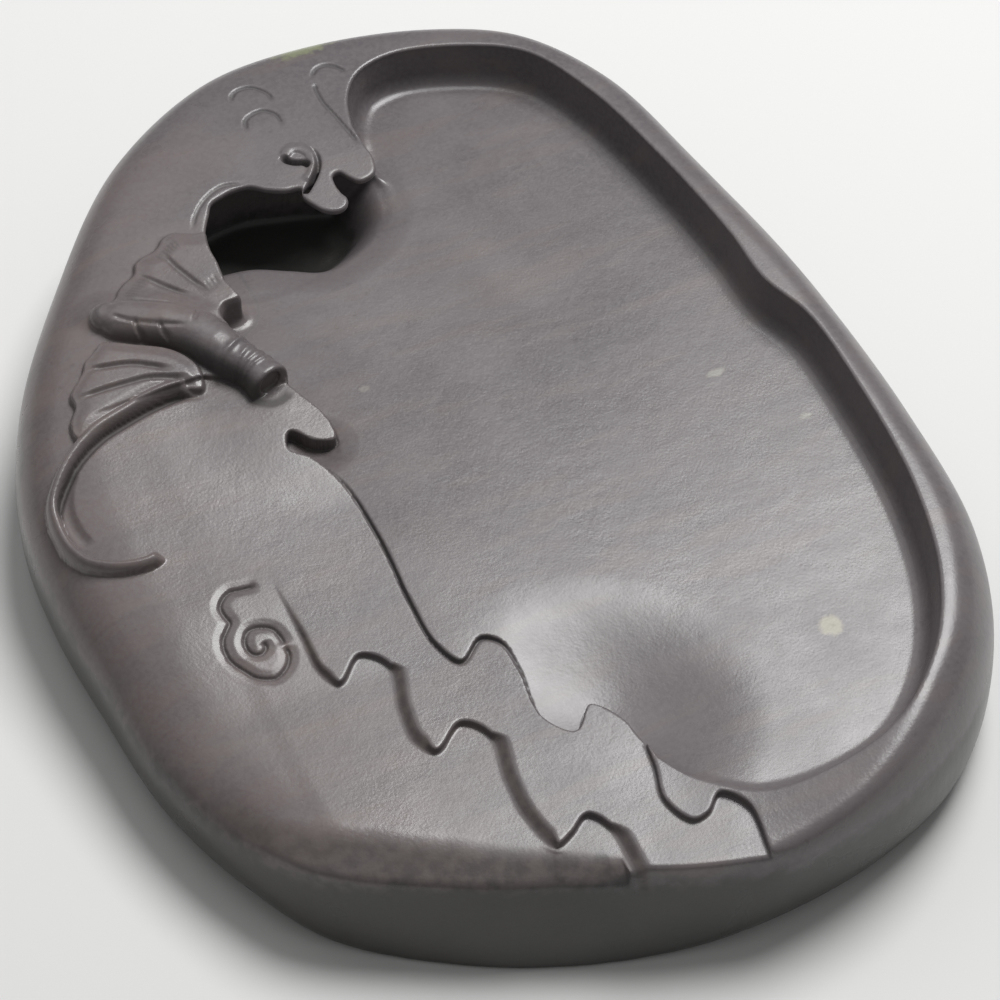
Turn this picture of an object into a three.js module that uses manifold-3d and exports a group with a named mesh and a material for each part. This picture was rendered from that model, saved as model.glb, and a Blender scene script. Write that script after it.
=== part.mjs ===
// Carved ink stone: one slab of slate with a grinding pool, a deep ink well under a
// cloud-shaped lip, two wavy ledges, a small bat, a curling tendril and a cloud scroll.
// Units are millimetres. +Z is up, +Y runs along the stone to the cloud end, and the
// origin is the middle of the underside.
import * as THREE from 'three';
import { mergeVertices } from 'three/addons/utils/BufferGeometryUtils.js';
import Module from 'manifold-3d';

// ---- driving dimensions -------------------------------------------------------------
const FIELD_HEIGHT = 21.2;        // top face at the near end, beside the ledges
const RIM_HEIGHT = 28.5;          // top face along the rim and at the cloud end
const CLIMB_ALONG = [-45, 85];    // y over which the top face climbs to the cloud end
const CLIMB_ACROSS = [0, 60];     // x over which the top face climbs to the rim
const OUTLINE_STEPS = 84;         // points round the outline of the slab
const BELLY_HEIGHT = 9;           // height at which the slab is widest
const SHOULDER_SPREAD = 0.9;      // how much broader the shoulder is on the ledge side
const TOP_RINGS = [0.7, 0.52, 0.34, 0.16];   // rings of the top face, as parts of the outline
const POOL_FLOOR = 20.5;          // pool floor beside the rim
const FLOOR_RISE = 1.8;           // rise of the pool floor to the ledges
const FLOOR_ACROSS = [30, -25];   // x over which the pool floor rises
const SCOOP = { x: 6.5, y: -62.5, radius: 19, depth: 2.6 };   // worn hollow, near end
const WELL_FLOOR = 11.5;          // deepest point, under the cloud lip
const LIP_THICKNESS = 6;          // stone left above the undercut well
const DIVE_ALONG = [46, 62];      // y over which the pool floor dives into the well
const DIVE_ACROSS = [14, -2];     // x over which the dive deepens
const APRON_SLOPE = 0.1;          // rise of the apron away from the pool, per mm
const APRON_FALL = 0.8;           // extra fall of the apron at the near edge
const LEDGE_DROP = 1.2;           // step down at the outer ledge
const HIGH = 40;                  // a height safely above the stone, for cutting tools
const OVERLAP = 0.1;              // how far one cut reaches into the next
const CARVING_RISE = 1.3;         // how far the bat's wings stand proud
const TENDRIL_RADIUS = 1.5;
const SCROLL_RADIUS = 1.3;
const GROOVE_RADIUS = 0.6;
const BAT_SIDES = 10;             // sides of the bat's round body
const BAT_FLATNESS = 0.6;         // height of the bat's body against its width
const LOBE_SPANS = 8;             // spans of the inner ledge that bound the raised lobe

// ---- outlines, in plan --------------------------------------------------------------
// Each list holds only the points that its curve has to pass through.
const OUTLINE = [
  [74.7, 0], [73, 20], [69, 44], [63, 68], [52, 85.5], [36, 94.6], [14, 99.7], [-8, 99.2],
  [-31, 87], [-51.5, 63.6], [-66, 42], [-73.6, 21], [-75.2, 2], [-74, -18], [-72, -38],
  [-66, -57], [-56, -75], [-40, -88], [-20, -97], [6, -100.4], [32, -97.3], [50, -89.5],
  [64, -75], [72.5, -55], [75, -28],
];

// The slab's side, as part of the top face's height and distance inside the outline.
const SIDE = [
  [0, 5], [0.05, 2.2], [0.16, 0.6], [0.36, 0], [0.6, 0.3], [0.78, 1.1], [0.88, 2.2],
  [0.95, 4], [0.985, 6.4], [1, 9.5],
];

// The rim, from the cloud head round the cloud end and the rim side to the near end.
const RIM_EDGE = [
  [14, 79.5], [18.4, 85], [26, 87], [38.5, 83.7], [49, 77], [55.3, 63], [59.3, 43], [62, 20],
  [62.3, 7], [65.4, -4], [65.6, -20], [63.2, -46], [57.6, -65], [49, -78.4], [37.5, -87],
  [24, -89.2], [12.5, -87.3], [5, -80.5], [1.5, -74],
];

// The inner ledge, from the near end of the pool up to the bat's snout.
const INNER_LEDGE = [
  [1, -70], [0.2, -64], [-3.6, -59], [-8, -62.9], [-11.6, -58], [-10.9, -48],
  [-11.6, -41.8], [-14.2, -39.8], [-19.2, -43], [-21.6, -38], [-21.8, -28], [-21, -14],
  [-21.8, 0], [-24.6, 7], [-27.4, 10], [-26, 13], [-22.8, 9.6], [-19.2, 8.7], [-18.7, 14],
  [-22.3, 23],
];

// From the snout along the bat's neck to the corner of the well.
const BAT_SIDE = [[-22.5, 26.5], [-24, 30], [-25.5, 34.5], [-27, 39], [-24.5, 41.5], [-24, 46.8]];

// The cloud lip: over the well, round the tongue and the notch, to the head.
const CLOUD_LIP = [
  [-23.6, 51.4], [-23.2, 58], [-19.5, 65], [-14.4, 66.8], [-8.8, 64.6], [-3.2, 62.2],
  [-3.4, 59.2], [-1.2, 55.8], [2, 54.6], [4, 57], [3.6, 61.4], [5, 63.2], [7.6, 59.7],
  [10.6, 60.2], [12.2, 64.1], [12, 68], [12.6, 75],
];

// The outer ledge, from beside the scroll down to the near edge.
const OUTER_LEDGE = [
  [-40.8, -20], [-41, -28], [-41.1, -34.5], [-39, -38.4], [-33.8, -34.4], [-30.2, -37.8],
  [-32.2, -47], [-32.6, -54], [-30.2, -57.4], [-24.3, -53.8], [-21, -57.5], [-22.4, -67],
  [-22.6, -75], [-20.4, -82], [-17.4, -81], [-13.5, -78.7], [-11.2, -82], [-11.4, -94],
];

// The crease between the apron and the near rim, from the pool down to the near edge.
const NEAR_CREASE = [
  [1, -70], [0.2, -75.5], [-1.3, -82], [1, -87.4], [3.8, -87.2], [7.2, -84.6],
  [10.2, -88.5], [9.2, -98.5],
];

const UPPER_WING = [
  [-25, 59.7], [-28.6, 61.3], [-32.1, 59.2], [-35.6, 58], [-38.4, 54.9], [-42.2, 52.5],
  [-44.5, 50], [-48.2, 47.4], [-49, 43], [-40, 40], [-30, 40], [-25, 44],
];
const UPPER_WING_RIBS = [
  [[-27.6, 44.8], [-29.6, 49.4], [-32.1, 57.5]],
  [[-29.5, 44], [-34, 49], [-38.2, 54.6]],
  [[-32, 43.2], [-38.5, 46], [-44.3, 49.6]],
];
const LOWER_WING = [
  [-49.3, 42.6], [-53.4, 39.8], [-55.4, 37], [-58.4, 33.9], [-58.6, 31], [-60.4, 28.2],
  [-60.3, 24.2], [-56, 25.2], [-51.8, 26.3], [-46.2, 27.6], [-41, 27.8], [-36.4, 26.3],
  [-36.4, 32.4], [-41.6, 37.3],
];
const LOWER_WING_RIBS = [
  [[-39.8, 31.3], [-46.2, 35.5], [-53.5, 37.2]],
  [[-38, 28.4], [-44.7, 31.5], [-57.2, 32]],
];
// Spine of the bat from the tail to the nose, with the body's radius at each point.
const BAT_SPINE = [
  [-49.5, 44.2, 1], [-47, 43.5, 2.2], [-43, 41.2, 2.6], [-39, 38.6, 2.8], [-35, 36, 3.2],
  [-31.5, 33.4, 3.9], [-29.3, 30.6, 3.9], [-27.8, 28.4, 4.2], [-26.8, 26, 3.7],
  [-25.8, 24, 4.4], [-25.2, 22.6, 4.1],
];
const TENDRIL = [
  [-36.4, 26.6], [-45.3, 28.2], [-56.6, 25.4], [-62.4, 22.1], [-67, 17.8], [-69.7, 12],
  [-69.7, 5.1], [-67.6, 0], [-63.5, -2.9], [-57, -4],
];
const SCROLL = [
  [-43.5, -22.5], [-48, -20.8], [-51.6, -23.4], [-51.8, -27], [-49.6, -29.8],
  [-46.2, -29.5], [-45.6, -26.4], [-47.6, -24.8],
];
const SCROLL_CROWN = [
  [-42.5, -21.6], [-45.8, -18.4], [-46.4, -16.2], [-48.8, -15.4], [-49.8, -17.4],
  [-48.6, -19.8],
];
const CLOUD_GROOVES = [
  [[-6.1, 87.3], [-4.6, 89.6], [-1.5, 89.7], [0.9, 87], [1.3, 84.5]],
  [[-6.2, 79], [-5.3, 82.1], [-1.9, 83.1], [0.1, 81.3], [0.4, 77.7]],
  [[14.6, 89], [11.9, 89.2], [9.6, 86.5], [9.9, 77], [11.2, 68.6]],
  [[-1.9, 72.1], [0.5, 72.7], [2.7, 69.5], [1.6, 65.5]],
];

// ---- surfaces -----------------------------------------------------------------------
// A smooth step from 0 to 1 while a value goes from the first limit to the second.
function blend(value, [from, to]) {
  const t = THREE.MathUtils.clamp((value - from) / (to - from), 0, 1);
  return t * t * (3 - 2 * t);
}

function topFace(x, y) {
  const low = (1 - blend(y, CLIMB_ALONG)) * (1 - blend(x, CLIMB_ACROSS));
  return RIM_HEIGHT - (RIM_HEIGHT - FIELD_HEIGHT) * low;
}

// Floor of the pool: nearly level, rising to the ledges, scooped near, diving to the well.
function poolFloor(x, y) {
  const distance = Math.hypot(x - SCOOP.x, y - SCOOP.y);
  const scoop = SCOOP.depth * blend(distance, [SCOOP.radius, 0]);
  const level = POOL_FLOOR + FLOOR_RISE * blend(x, FLOOR_ACROSS) - scoop;
  const dive = blend(y, DIVE_ALONG) * blend(x, DIVE_ACROSS);
  return level + (WELL_FLOOR - level) * dive;
}

// The apron between the ledges lies just below the pool floor, and climbs away from it.
function apronFace(x, y) {
  const climb = APRON_SLOPE * (Math.max(0, -24 - x) + Math.max(0, y + 5));
  return FIELD_HEIGHT + climb - APRON_FALL * blend(y, [-60, -80]);
}

const fieldFace = (x, y) => (
  Math.min(apronFace(x, y), topFace(x, y)) - LEDGE_DROP * blend(y, [-14, -40]));

// ---- helpers ------------------------------------------------------------------------
const wasm = await Module();
wasm.setup();

const plan = (points) => points.map(([x, y]) => new THREE.Vector2(x, y));

const openCurve = (points, perSpan = 2) => {
  const curve = new THREE.CatmullRomCurve3(
    points.map(([x, y]) => new THREE.Vector3(x, y, 0)), false, 'centripetal');
  return curve.getPoints((points.length - 1) * perSpan).map((p) => [p.x, p.y]);
};

const closedCurve = (points, count) => {
  const curve = new THREE.CatmullRomCurve3(
    points.map(([x, y]) => new THREE.Vector3(x, y, 0)), true, 'centripetal');
  return curve.getPoints(count).slice(0, count).map((p) => [p.x, p.y]);
};

// The unit vector to the left of the way from one plan point to another.
function leftOf([ax, ay], [bx, by]) {
  const length = Math.hypot(bx - ax, by - ay);
  return [(ay - by) / length, (bx - ax) / length];
}

function toSolid(geometry) {
  const bare = geometry.clone();
  bare.deleteAttribute('normal');
  bare.deleteAttribute('uv');
  const merged = mergeVertices(bare, 1e-4);
  return new wasm.Manifold(new wasm.Mesh({
    numProp: 3,
    vertProperties: new Float32Array(merged.attributes.position.array),
    triVerts: new Uint32Array(merged.index.array),
  }));
}

function toGeometry(solid) {
  const mesh = solid.getMesh();
  const geometry = new THREE.BufferGeometry();
  geometry.setAttribute('position', new THREE.BufferAttribute(mesh.vertProperties, 3));
  geometry.setIndex(new THREE.BufferAttribute(mesh.triVerts, 1));
  geometry.computeVertexNormals();
  return geometry;
}

// A solid from rings of points, lowest first, closed by a fan at each end.
function loft(rings) {
  const count = rings[0].length;
  const positions = rings.flat(2);
  const index = [];
  for (let ring = 0; ring < rings.length - 1; ring += 1) {
    for (let i = 0; i < count; i += 1) {
      const a = ring * count + i;
      const b = ring * count + ((i + 1) % count);
      index.push(a, b, b + count, a, b + count, a + count);
    }
  }
  const middle = (ring) => [0, 1, 2].map((k) => ring.reduce((sum, p) => sum + p[k], 0) / count);
  const bottom = positions.length / 3;
  positions.push(...middle(rings[0]), ...middle(rings.at(-1)));
  const last = (rings.length - 1) * count;
  for (let i = 0; i < count; i += 1) {
    const next = (i + 1) % count;
    index.push(bottom, next, i, bottom + 1, last + i, last + next);
  }
  const geometry = new THREE.BufferGeometry();
  geometry.setAttribute('position', new THREE.Float32BufferAttribute(positions, 3));
  geometry.setIndex(index);
  return toSolid(geometry);
}

// A plan outline extruded from z = low up to z = high.
function prism(points, low, high) {
  const geometry = new THREE.ExtrudeGeometry(new THREE.Shape(plan(points)), {
    depth: high - low,
    bevelEnabled: false,
  });
  return toSolid(geometry.translate(0, 0, low));
}

// Everything above the surface z = height(x, y), inside a box, on a regular grid.
function above(height, low, high, step) {
  const across = Math.round((high[0] - low[0]) / step);
  const along = Math.round((high[1] - low[1]) / step);
  const geometry = new THREE.BoxGeometry(
    high[0] - low[0], high[1] - low[1], HIGH, across, along, 1);
  geometry.translate((low[0] + high[0]) / 2, (low[1] + high[1]) / 2, HIGH / 2);
  const position = geometry.attributes.position;
  for (let i = 0; i < position.count; i += 1) {
    if (position.getZ(i) < HIGH / 2) {
      position.setZ(i, height(position.getX(i), position.getY(i)));
    }
  }
  return toSolid(geometry);
}

// A round bar along a plan curve, with its axis at a height above or below the top face.
function bar(points, radius, offset, sides = 8, perSpan = 4) {
  const path = new THREE.CatmullRomCurve3(points.map(([x, y]) => (
    new THREE.Vector3(x, y, topFace(x, y) + offset))), false, 'centripetal');
  const section = new THREE.Shape();
  section.absarc(0, 0, radius, 0, 2 * Math.PI, false);
  return toSolid(new THREE.ExtrudeGeometry(section, {
    steps: (points.length - 1) * perSpan,
    curveSegments: sides / 2,
    extrudePath: path,
  }));
}

// ---- the slab -----------------------------------------------------------------------
function slab() {
  const outline = closedCurve(OUTLINE, OUTLINE_STEPS);
  const inward = outline.map((_, i) => (
    leftOf(outline.at(i - 1), outline[(i + 1) % outline.length])));
  // The shoulder is tight along the rim and broad on the ledge side.
  const breadth = (x) => 1 + SHOULDER_SPREAD * blend(x, [20, -60]);
  const side = SIDE.map(([part, inset]) => outline.map(([x, y], i) => {
    const shoulder = part > BELLY_HEIGHT / FIELD_HEIGHT ? inset * breadth(x) : inset;
    const px = x + inward[i][0] * shoulder;
    const py = y + inward[i][1] * shoulder;
    return [px, py, part * topFace(px, py)];
  }));
  const top = TOP_RINGS.map((part) => outline.map(([x, y]) => (
    [x * part, y * part, topFace(x * part, y * part)])));
  return loft([...side, ...top]);
}

// ---- the hollows --------------------------------------------------------------------
function poolTool() {
  const edge = [
    ...openCurve(RIM_EDGE, 3), ...openCurve(INNER_LEDGE), ...openCurve(BAT_SIDE, 1),
    ...openCurve(CLOUD_LIP),
  ];
  return prism(edge, 0, HIGH).intersect(above(poolFloor, [-45, -98], [75, 98], 5));
}

// The well reaches back under the cloud lip.
function wellTool() {
  const hollow = [
    [-26.5, 50], [-26.5, 61], [-22.5, 69.5], [-13, 73], [-3, 70.5], [5, 66.5], [10.5, 63],
    [8, 55], [-4, 48], [-20, 44.5],
  ];
  const ceiling = (x, y) => topFace(x, y) - LIP_THICKNESS;
  return prism(closedCurve(hollow, 36), 0, HIGH)
    .intersect(above(poolFloor, [-45, 30], [35, 98], 4))
    .subtract(above(ceiling, [-60, 20], [60, 100], 20));
}

// ---- the ledges ---------------------------------------------------------------------
function apronTool() {
  const ledge = openCurve(INNER_LEDGE).slice(0, -LOBE_SPANS);
  const region = [
    ...ledge.map(([x, y]) => [x + OVERLAP, y]), [-40, 20], [-90, 20], [-90, -115],
    [9.2, -115], ...openCurve(NEAR_CREASE).reverse(),
  ];
  return prism(region, 0, HIGH).intersect(above(apronFace, [-95, -120], [45, 25], 10));
}

function fieldTool() {
  const region = [
    [-90, -12], [-90, -115], [-11.4, -115], ...openCurve(OUTER_LEDGE).reverse(),
    [-40.8, -12],
  ];
  return prism(region, 0, HIGH).intersect(above(fieldFace, [-95, -120], [5, -8], 8));
}

// ---- the carving --------------------------------------------------------------------
function wing(outline, ribs) {
  const surface = (x, y) => topFace(x, y) + CARVING_RISE;
  const plate = prism(outline, FIELD_HEIGHT, HIGH)
    .subtract(above(surface, [-80, 10], [0, 70], 10));
  return ribs.reduce(
    (solid, rib) => solid.add(bar(rib, GROOVE_RADIUS, CARVING_RISE, 8, 3)), plate);
}

function batBody() {
  const rings = BAT_SPINE.map(([x, y, radius], i) => {
    const across = leftOf(
      BAT_SPINE[Math.max(0, i - 1)], BAT_SPINE[Math.min(BAT_SPINE.length - 1, i + 1)]);
    return Array.from({ length: BAT_SIDES }, (_, k) => {
      const angle = (2 * Math.PI * k) / BAT_SIDES;
      const out = radius * Math.cos(angle);
      const up = radius * Math.sin(angle) * BAT_FLATNESS;
      return [x + across[0] * out, y + across[1] * out, topFace(x, y) + up];
    });
  });
  return loft(rings);
}

// ---- the finished stone -------------------------------------------------------------
function inkstone() {
  const cuts = [apronTool(), fieldTool(), poolTool(), wellTool()];
  const carving = [
    wing(UPPER_WING, UPPER_WING_RIBS), wing(LOWER_WING, LOWER_WING_RIBS), batBody(),
    bar(TENDRIL, TENDRIL_RADIUS, -0.5), bar(SCROLL, SCROLL_RADIUS, -0.8),
    bar(SCROLL_CROWN, SCROLL_RADIUS, -0.8),
  ];
  const grooves = CLOUD_GROOVES.map((groove) => bar(groove, GROOVE_RADIUS, 0, 6, 3));
  const hollowed = cuts.reduce((solid, cut) => solid.subtract(cut), slab());
  const carved = carving.reduce((solid, piece) => solid.add(piece), hollowed);
  return grooves.reduce((solid, groove) => solid.subtract(groove), carved);
}

const stoneMaterial = new THREE.MeshStandardMaterial({
  color: 0x5d5356,
  roughness: 0.5,
  metalness: 0,
});

const mesh = new THREE.Mesh(toGeometry(inkstone()), stoneMaterial);
mesh.name = 'inkstone';

const part = new THREE.Group();
part.add(mesh);

export default part;
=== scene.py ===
# A carved ink stone: a slab of purple-grey slate with a grinding pool, a deep ink well
# under a cloud-shaped lip, two wavy ledges, a small bat, a curling tendril and a cloud
# scroll. The stone is one piece. It is built as a signed distance field on a fine grid,
# in the millimetres of the CAD frame, and its surface is the mesh that stands for it.
import math

import bpy
import numpy as np
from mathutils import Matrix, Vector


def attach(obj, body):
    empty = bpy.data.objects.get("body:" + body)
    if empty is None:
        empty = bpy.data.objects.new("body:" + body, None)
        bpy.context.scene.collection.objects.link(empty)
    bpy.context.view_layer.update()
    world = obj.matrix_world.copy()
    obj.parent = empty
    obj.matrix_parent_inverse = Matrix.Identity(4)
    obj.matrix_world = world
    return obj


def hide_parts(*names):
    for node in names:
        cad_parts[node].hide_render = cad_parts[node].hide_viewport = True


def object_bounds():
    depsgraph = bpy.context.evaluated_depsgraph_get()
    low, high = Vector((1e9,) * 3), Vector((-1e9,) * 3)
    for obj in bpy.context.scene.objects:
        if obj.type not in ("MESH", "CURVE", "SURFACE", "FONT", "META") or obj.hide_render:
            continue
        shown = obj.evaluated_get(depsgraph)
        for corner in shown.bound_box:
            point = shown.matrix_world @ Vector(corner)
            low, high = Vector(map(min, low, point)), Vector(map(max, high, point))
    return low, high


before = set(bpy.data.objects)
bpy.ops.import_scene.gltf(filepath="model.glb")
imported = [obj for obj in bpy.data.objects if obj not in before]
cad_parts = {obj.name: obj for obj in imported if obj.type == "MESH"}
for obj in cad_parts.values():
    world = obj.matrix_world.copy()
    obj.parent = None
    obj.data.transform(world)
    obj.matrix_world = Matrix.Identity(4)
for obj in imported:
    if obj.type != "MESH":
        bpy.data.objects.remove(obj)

import openvdb
from mathutils import Vector

CAD_LOW, CAD_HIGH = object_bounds()

# ---- sizes, in millimetres of the CAD frame --------------------------------------------
# A name that ends in _X, _Y or _Z is the stretch of that axis over which something changes.
LENGTH = 200.8                    # of the stone, along y
MM = (CAD_HIGH.y - CAD_LOW.y) / LENGTH
VOXEL = 0.25
MARGIN = 2.0                      # empty space kept round the stone in the grid
BAND = 3                          # voxels of distance kept either side of the surface

# The slab.
FIELD_HEIGHT = 21.2               # top face at the near end, beside the ledges
RIM_HEIGHT = 28.5                 # top face along the rim and at the cloud end
TOP_RISE_Y = (-45, 85)            # the top face climbs to the far end
TOP_RISE_X = (0, 60)              # and to the rim
BELLY_HEIGHT = 9.0                # height at which the slab is widest
SHOULDER = 9.5                    # inward reach of the rounding above the belly
SHOULDER_SPREAD = 0.9             # how much further it reaches at the left, as a share
FOOT = 5.0                        # inward reach of the rounding below the belly

# The pool and the well.
POOL_LEVEL = 20.5                 # pool floor beside the rim
POOL_RISE = 1.25                  # how much higher it is beside the ledges
POOL_RISE_X = (30, -25)
SCOOP = (-4.5, -62.0)             # centre of the hollow ground into the pool floor
SCOOP_REACH = 30.0
SCOOP_DEPTH = 3.7
POCKET = (-23.0, 10.0)            # centre of the pocket under the lobe's hook
POCKET_REACH = 8.0
POCKET_DEPTH = 1.5
RIM_LEAN = 0.25                   # how far the rim's wall leans back for its height
RIM_EDGE_DEPTH = 0.8              # depth below the rim at which the lean starts
COVE = 2.5                        # radius where a floor meets the rim or the well's back
LEDGE_COVE = 0.4                  # and where the pool floor meets the inner ledge
WELL_FLOOR = 11.5                 # deepest point, under the cloud lip
WELL_BREAK = (3.4, -5.6)          # distances from the mouth between which the floor drops
WELL_DIP = 1.2                    # sinking of the pool floor towards the well
WELL_DIP_REACH = 9.0
LIP_THICKNESS = 6.0               # stone left above the back of the well
LIP_EDGE = 1.3                    # thickness of the lip at its edge
LIP_REACH = 7.0                   # distance from the lip's edge to its full thickness

# The apron between the ledges, and the field beyond the outer one.
APRON_SLOPE = 0.1                 # climb of the apron to the left and to the far end
APRON_DROP = 0.6                  # how far it lies below the top face where it is level
APRON_DIP = 0.3                   # how much lower it runs out at the near end
APRON_EDGE = 0.35                 # rounding of its edges
LOBE = (-21.0, 16.0)              # centre of the lobe beside the bat's mouth
LOBE_REACH = 22.0
LOBE_RISE = 0.7                   # of the apron's face on the lobe
LOBE_KEEP = 0.9                   # keeps the lobe clear of the apron's soft end
LEDGE_DROP = 1.3                  # step down at the outer ledge
LEDGE_FADE_Y = (-14, -40)         # the step comes in
LEDGE_EDGE = 0.3                  # rounding of its edges
SHARP = 0.01                      # rounding of an edge where the step has died out
LOW_SHOULDER_X = (-42, -54)       # the shoulder rolls straight into the apron and the field
LOW_SHOULDER_Y = (34, 22)
CREASE_HEIGHT = 17.0              # where the near-left bevel meets the side
BEVEL_HEIGHT = FIELD_HEIGHT - LEDGE_DROP - 0.2      # the bevel's upper edge
BEVEL_LIFT = 9.0                  # lift that takes the bevel clear of the slab at its ends
BEVEL_CLEAR = 40.0                # and clear of the apron
BEVEL_SKIN = 0.7                  # how much of the rough skin is left on the bevel

# The carving.
RELIEF_FROM = 14.0                # height below which no carving reaches
RELIEF_Z = (RELIEF_FROM, RELIEF_FROM + 2)
BAT_POWER = 2.4                   # roundness of the bat's body: 2 is an ellipse
BAT_BACK = 1.3                    # height of the slope from its back to the upper wing
BAT_BORE = 2.3                    # radius of its hollow mouth
BAT_BORE_HEIGHT = 1.6             # of the bore's axis above the ground
BAT_RING = 0.16                   # half width of a ring on its neck, in places along it
SLIT_DEPTH = 2.2                  # of the slit beside the volute

# ---- plan curves -----------------------------------------------------------------------
OUTLINE = [
    (74.7, 0), (73, 20), (69, 44), (63, 68), (52, 85.5), (36, 94.6), (14, 99.7), (-8, 99.2),
    (-31, 87), (-51.5, 63.6), (-66, 42), (-73.6, 21), (-75.2, 2), (-74, -18), (-72, -38),
    (-66, -57), (-56, -75), (-40, -88), (-20, -97), (6, -100.4), (32, -97.3), (50, -89.5),
    (64, -75), (72.5, -55), (75, -28),
]
RIM_EDGE = [
    (12, 73), (14, 79.5), (18.4, 85), (26, 87), (38.5, 83.7), (49, 77), (55.3, 63), (59.3, 43),
    (62, 20), (62.3, 7), (65.4, -4), (65.6, -20), (63.2, -46), (57.6, -65), (49, -78.4),
    (37.5, -87), (24, -89.2), (12.5, -87.3), (5, -80.5), (1.5, -74),
]
INNER_LEDGE = [
    (1, -70), (0.2, -64), (-3.6, -59), (-8, -62.9), (-11.6, -58), (-10.9, -48),
    (-11.6, -41.8), (-14.2, -39.8), (-19.2, -43), (-21.6, -38), (-21.8, -28), (-21, -14),
    (-21.8, 0), (-24.6, 7), (-27.4, 10), (-26, 13), (-22.8, 9.6), (-19.2, 8.7), (-18.7, 14),
    (-22.3, 23),
]
BAT_SIDE = [
    (-22.5, 26.5), (-24, 30), (-25.6, 34.5), (-27.6, 39.4), (-26.4, 41.6), (-23, 42.2),
    (-23.4, 44.2), (-24, 46.8),
]
CLOUD_LIP = [
    (-23.6, 51.4), (-23.6, 55.2), (-22.6, 59.4), (-20.3, 63.4), (-18.9, 65.5), (-16.7, 66.3),
    (-14.4, 66.8), (-11.2, 66.5), (-8.8, 64.6), (-5.8, 63), (-2.8, 62.3), (-3.3, 60.3),
    (-2.1, 57.4), (-0.9, 55.6), (1.4, 54.6), (3.2, 55.2), (4, 56.8), (3.5, 58.4), (3.3, 60.9),
    (3.8, 63), (5.1, 63.2), (6.1, 61.5), (7.5, 59.7), (9.7, 59.8), (11.2, 60.8), (12.2, 64.1),
    (12, 67.7), (12, 71),
]
# Where the pool floor breaks off into the well.
WELL_MOUTH = [
    (-29, 57.5), (-21.7, 57.2), (-15.4, 56.2), (-9, 53), (-4, 50.6), (0, 51.6), (4.7, 54.3),
    (7.6, 57.5), (8.6, 63), (9, 70), (0, 78), (-20, 78), (-29, 68),
]
WELL = [
    (-26.5, 50), (-26.5, 61), (-22.5, 69.5), (-13, 73), (-3, 71), (5, 68.5), (11, 66.5),
    (15, 63), (12, 55), (-4, 46), (-20, 44.5),
]
OUTER_LEDGE = [
    (-40.8, -20), (-41, -28), (-41.1, -34.5), (-39, -38.4), (-33.8, -34.4), (-30.2, -37.8),
    (-32.2, -47), (-32.6, -54), (-30.2, -57.4), (-24.3, -53.8), (-21, -57.5), (-22.4, -67),
    (-22.6, -75), (-20.4, -82), (-17.4, -81), (-13.5, -78.7), (-11.2, -82), (-11.4, -94),
]
# Points of the outer ledge between which it is a broad chamfer, and the chamfer's width.
CHAMFERS = [
    (0, 0.5), (0.5, 1.0), (2.4, 1.0), (2.9, 0.15), (5.05, 0.15), (5.25, 1.9), (7.3, 1.6),
    (7.9, 0.15), (10.05, 0.15), (10.25, 2.0), (12.6, 1.8), (13.1, 0.15), (16.0, 0.15),
    (16.25, 1.8), (17, 2.2),
]
NEAR_CREASE = [
    (1, -70), (0.2, -75.5), (-1.3, -82), (1, -87.4), (3.8, -87.2), (7.2, -84.6),
    (10.2, -88.5), (9.2, -98.5),
]
# The near-left edge: a point of the outline, and the distances inside the outline of the
# foot of the side, of the crease between side and bevel, and of the bevel's upper edge.
BEVEL = [
    (14.2, -4, -2.0, 5.0), (14.8, -2.5, 0.5, 6.0), (15.2, -1.5, 1.4, 6.6),
    (15.6, 0.0, 2.6, 9.0), (16.0, 1.8, 4.6, 12.0), (16.4, 2.8, 6.4, 13.4),
    (16.8, 3.2, 7.5, 14.8), (17.7, 3.4, 8.6, 14.9), (18.1, 3.0, 7.6, 12.7),
    (18.4, 2.2, 6.0, 9.5), (18.7, 1.0, 4.0, 7.0), (19.0, -0.8, 2.0, 5.0), (19.5, -4, -2.0, 4.0),
]

# ---- carved figures, in plan -----------------------------------------------------------
UPPER_WING = [
    (-25, 59.7), (-28.6, 61.3), (-30.8, 60.6), (-32.1, 59.2), (-33.5, 58.5), (-35.6, 58),
    (-37.4, 57), (-38.4, 54.9), (-40.5, 53.8), (-42.2, 52.5), (-43.3, 50.8), (-44.4, 49.9),
    (-46, 49.1), (-47.8, 47.8), (-47, 45), (-44, 43), (-38, 40), (-31, 37), (-25, 38), (-20, 42),
    (-19, 50), (-20, 58),
]
UPPER_WING_RIBS = [
    [(-27.6, 44.8), (-29.6, 49.4), (-31, 53.2), (-32.1, 57.5)],
    [(-29.8, 44.2), (-34, 49), (-38.2, 54.6)],
    [(-33, 43.6), (-38.5, 46.6), (-43.6, 50.2)],
]
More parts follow.
